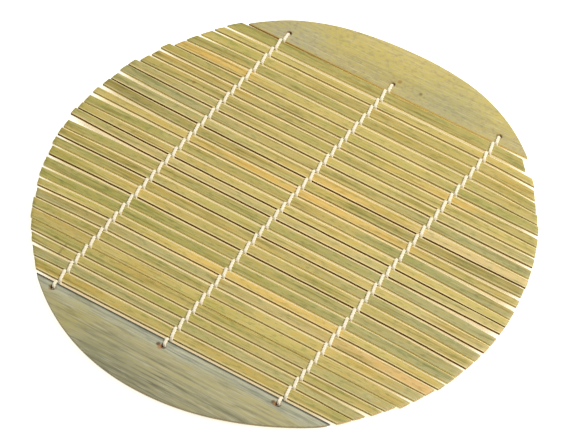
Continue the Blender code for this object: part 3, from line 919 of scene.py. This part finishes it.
def make_board(node, side, material):
    """Half-moon board with a rounded rim, softened edges and three worn holes."""
    low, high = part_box(node)
    left, right = straight_edge(node, side)
    turns, reaches = board_rim(node, side)
    rim = [(left[0] - BEVEL_INSET, left[1])]
    for turn in np.linspace(turns[0], turns[-1], RIM_STEPS + 1)[1:-1]:
        reach = np.interp(turn, turns, reaches)
        rim.append((reach * math.sin(turn), side * reach * math.cos(turn)))
    rim.append((right[0] + BEVEL_INSET, right[1]))
    board = prism(f"{node}_finished", [[(x, y, z) for x, y in rim] for z in (low.z, high.z)])
    soft = board.modifiers.new("softened edges", "BEVEL")
    soft.width = BEVEL_WIDTH
    soft.segments = BEVEL_STEPS
    soft.limit_method = "ANGLE"
    soft.angle_limit = BEVEL_ANGLE
    cutters = []
    for number, place in enumerate(HOLES[node]):
        cutter = prism(f"{node}_drill_{number}", [
            hole_ring(place, HOLE_RADIUS * width, MIDDLE_HEIGHT + height * MM)
            for height, width in HOLE_TAPER
        ])
        cutters.append(cutter)
        cut = board.modifiers.new("hole", "BOOLEAN")
        cut.operation = "DIFFERENCE"
        cut.object = cutter
    mesh = evaluated(board)
    board.modifiers.clear()
    board.data = mesh
    for cutter in cutters:
        bpy.data.objects.remove(cutter)
    mesh.shade_smooth()
    mesh.set_sharp_from_angle(angle=SHARP_ANGLE)
    mesh.materials.clear()
    mesh.materials.append(material)
    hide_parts(node)
    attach(board, "root")


def make_boards():
    """Both end boards. The far one is yellower and mottled, the near one grey-green."""
    far = flattened_bamboo(
        "flattened bamboo, khaki", straight_edge("board_far", 1), FAR_DEPTH,
        bands=(
            (0.0, "#BDB285"), (0.25, "#C0B47F"), (0.5, "#C6B978"), (0.8, "#CBBD7E"),
            (1.0, "#D0C288"),
        ),
        grain_size=(1.7 * MM, 0.9 * MM),
        mottling=((0.34, "#DDD8CC"), (0.5, "#F8F6F0"), (0.66, "#FFFABA")), streaking=0.4,
        scratch="#D6CEA4", edge=("#C0A454", 0.5 * MM),
        side_tone=((0.0, "#7A5228"), (0.3, "#B4843A"), (1.0, "#F2DC96")),
        holes=HOLES["board_far"], patches=FAR_PATCHES, marks=FAR_MARKS,
    )
    near = flattened_bamboo(
        "flattened bamboo, grey-green", straight_edge("board_near", -1), -NEAR_DEPTH,
        bands=(
            (0.0, "#BABAA7"), (0.16, "#B8B8A2"), (0.3, "#B5AD86"), (0.6, "#AFA987"),
            (1.0, "#918F76"),
        ),
        grain_size=(9.0 * MM, 1.2 * MM),
        mottling=((0.36, "#DADBD6"), (0.5, "#FCFCFA"), (0.62, "#FFFDEA")), streaking=0.9,
        scratch="#C9C7B0", edge=("#2A2A1C", 1.1 * MM),
        side_tone=((0.0, "#8C7A52"), (1.0, "#8C7A52")),
        holes=HOLES["board_near"], patches=NEAR_PATCHES, marks=NEAR_MARKS,
    )
    make_board("board_far", 1, far)
    make_board("board_near", -1, near)


# Strings


def string_tree():
    """Plies twisted round a path, each a round yarn that carries its length and its turn."""
    tree, given, result = group("plied string", (
        ("Plies", "Int"), ("Ply Sides", "Int"), ("Ply Radius", "Float"), ("Ply Offset", "Float"),
        ("Squash", "Float"), ("Pitch", "Float"), ("Step", "Float"), ("Material", "Material"),
    ))
    value = given.outputs
    path = add(tree, "GeometryNodeMeshToCurve", {"Mesh": value["Geometry"]})
    path = add(tree, "GeometryNodeCurveSplineType", {"Curve": path}, spline_type="CATMULL_ROM")
    path = add(tree, "GeometryNodeSetSplineResolution", {"Geometry": path, "Resolution": 8})
    path = add(tree, "GeometryNodeResampleCurve", {"Curve": path, "Length": value["Step"]}, mode="LENGTH")
    path = add(tree, "GeometryNodeDuplicateElements", {
        "Geometry": path, "Amount": value["Plies"],
    }, domain="SPLINE")
    ply = path.node.outputs["Duplicate Index"]
    length = add(tree, "GeometryNodeSplineParameter", output="Length")
    path = add(tree, "GeometryNodeStoreNamedAttribute", {
        "Geometry": path, "Name": "along", "Value": length,
    }, data_type="FLOAT", domain="POINT")
    turn = add(tree, "ShaderNodeMath", {0: length, 1: value["Pitch"]}, operation="DIVIDE")
    share = add(tree, "ShaderNodeMath", {0: ply, 1: value["Plies"]}, operation="DIVIDE")
    turn = add(tree, "ShaderNodeMath", {0: turn, 1: share}, operation="ADD")
    turn = add(tree, "ShaderNodeMath", {0: turn, 1: 2 * math.pi}, operation="MULTIPLY")

    # Sideways and upward directions square to the path
    along = add(tree, "GeometryNodeInputTangent")
    lean = add(tree, "ShaderNodeVectorMath", {0: along, 1: (1, 0, 0)}, "Value", operation="DOT_PRODUCT")
    lean = add(tree, "ShaderNodeVectorMath", {0: along, "Scale": lean}, operation="SCALE")
    sideways = add(tree, "ShaderNodeVectorMath", {0: (1, 0, 0), 1: lean}, operation="SUBTRACT")
    sideways = add(tree, "ShaderNodeVectorMath", {0: sideways}, operation="NORMALIZE")
    upward = add(tree, "ShaderNodeVectorMath", {0: along, 1: sideways}, operation="CROSS_PRODUCT")
    offsets = []
    for direction, wave in ((sideways, "COSINE"), (upward, "SINE")):
        size = add(tree, "ShaderNodeMath", {0: turn}, operation=wave)
        size = add(tree, "ShaderNodeMath", {0: size, 1: value["Ply Offset"]}, operation="MULTIPLY")
        if wave == "SINE":
            size = add(tree, "ShaderNodeMath", {0: size, 1: value["Squash"]}, operation="MULTIPLY")
        offsets.append(add(tree, "ShaderNodeVectorMath", {
            0: direction, "Scale": size,
        }, operation="SCALE"))
    offset = add(tree, "ShaderNodeVectorMath", {0: offsets[0], 1: offsets[1]}, operation="ADD")
    path = add(tree, "GeometryNodeSetPosition", {"Geometry": path, "Offset": offset})
    round_yarn = add(tree, "GeometryNodeCurvePrimitiveCircle", {
        "Resolution": value["Ply Sides"], "Radius": value["Ply Radius"],
    })
    around = add(tree, "GeometryNodeSplineParameter", output="Factor")
    round_yarn = add(tree, "GeometryNodeStoreNamedAttribute", {
        "Geometry": round_yarn, "Name": "around", "Value": around,
    }, data_type="FLOAT", domain="POINT")
    yarn = add(tree, "GeometryNodeCurveToMesh", {
        "Curve": path, "Profile Curve": round_yarn, "Fill Caps": True,
    })
    yarn = add(tree, "GeometryNodeSetShadeSmooth", {"Geometry": yarn, "Shade Smooth": True})
    yarn = add(tree, "GeometryNodeRealizeInstances", {"Geometry": yarn})
    yarn = add(tree, "GeometryNodeSetMaterial", {"Geometry": yarn, "Material": value["Material"]})
    tree.links.new(yarn, result.inputs["Geometry"])
    return tree


FLAT_RISE = HALF_THICKNESS + STRING_RISE
SHOULDER_RISE = HALF_THICKNESS + SHOULDER_LIFT


class StringLine:
    """Where one string crosses the boards and the slats."""

    def __init__(self, number, name):
        self.cloud = STRING_CLOUDS[name]
        self.far_hole = HOLES["board_far"][number]
        self.near_hole = HOLES["board_near"][number]
        far, near = BOARD_CHORDS["board_far"], BOARD_CHORDS["board_near"]
        members = [(far, None)] + [SLAT_EDGES[slat] for slat in SLAT_NAMES] + [(None, near)]
        guess = np.linspace(self.far_hole[0], self.near_hole[0], len(members))
        self.near_edges = [edge_at(line[0], x) for line, x in zip(members[:-1], guess)]
        self.far_edges = [edge_at(line[1], x) for line, x in zip(members[1:], guess[1:])]
        self.gaps = []
        for near_edge, far_edge in zip(self.near_edges, self.far_edges):
            y = (near_edge + far_edge) / 2
            close = self.cloud[np.abs(self.cloud[:, 1] - y) < GAP_SLICE]
            self.gaps.append((float(close[:, 0].min() + close[:, 0].max()) / 2, y))

    def strand(self, starts_over):
        """Points of one strand, from the far hole to the near one."""
        points = []
        last = len(self.gaps)
        before = (*self.far_hole, 0.0)
        for number in range(last + 1):
            over = 1 if (number % 2 == 0) == starts_over else -1
            if number < last:
                after = (*self.gaps[number], over * TWINE_OFFSET)
            else:
                after = (*self.near_hole, 0.0)
            starts = self.far_edges[number - 1] if number else self.far_hole[1] - HOLE_RADIUS
            ends = self.near_edges[number] if number < last else self.near_hole[1] + HOLE_RADIUS
            places = (
                (starts + SHOULDER_OUT, SHOULDER_RISE), (starts - FLAT_IN, FLAT_RISE),
                ((starts + ends) / 2, FLAT_RISE), (ends + FLAT_IN, FLAT_RISE),
                (ends - SHOULDER_OUT, SHOULDER_RISE),
            )
            for y, rise in places:
                part = (before[1] - y) / (before[1] - after[1])
                x = before[0] + before[2] + part * (after[0] + after[2] - before[0] - before[2])
                points.append((x, y, MIDDLE_HEIGHT + over * rise))
            if number < last:
                points.append((after[0] + after[2], after[1], MIDDLE_HEIGHT))
            before = after
        return points

    def path(self):
        """The whole doubled string, from the knot under the near board and back to it."""
        near = (*(Vector(self.near_hole) + PASSAGE_SHIFT[-1]), MIDDLE_HEIGHT)
        far = (*(Vector(self.far_hole) + PASSAGE_SHIFT[1]), MIDDLE_HEIGHT)
        below = Vector((near[0], near[1], MIDDLE_HEIGHT - FLAT_RISE))
        first = [tuple(below + step) for step in FIRST_END]
        last = [tuple(below + step) for step in LAST_END]
        return first + [near] + self.strand(False)[::-1] + [far] + self.strand(True) + last

    def knot(self):
        """A flat overhand knot under the near board, beside the hole."""
        near_x, near_y = self.near_hole
        points = []
        for step in range(KNOT_STEPS):
            angle = 2 * math.pi * step / KNOT_STEPS
            x = near_x + KNOT_WIDTH * (math.sin(angle) + 2 * math.sin(2 * angle))
            y = near_y + KNOT_SHIFT + KNOT_LENGTH * (math.cos(angle) - 2 * math.cos(2 * angle))
            z = MIDDLE_HEIGHT - FLAT_RISE - KNOT_DEPTH * math.sin(3 * angle)
            points.append((x, y, z))
        return points


def make_strings():
    """The three doubled strings."""
    tree = string_tree()
    cotton = cotton_string()
    for number, name in enumerate(STRING_NAMES):
        line = StringLine(number, name)
        route, knot = line.path(), line.knot()
        links = [(i, i + 1) for i in range(len(route) - 1)]
        first = len(route)
        links += [(first + i, first + (i + 1) % len(knot)) for i in range(len(knot))]
        guide = bpy.data.meshes.new(f"{name}_path")
        guide.from_pydata(route + knot, links, [])
        string = grow(f"{name}_plied", guide, tree, {
            "Plies": PLIES, "Ply Sides": PLY_SIDES, "Ply Radius": PLY_RADIUS,
            "Ply Offset": PLY_OFFSET, "Squash": PLY_SQUASH, "Pitch": PLY_PITCH,
            "Step": STRING_STEP, "Material": cotton,
        })
        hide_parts(name)
        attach(string, "root")


make_camera()
make_floor()
make_lights()
make_slats()
make_boards()
make_strings()
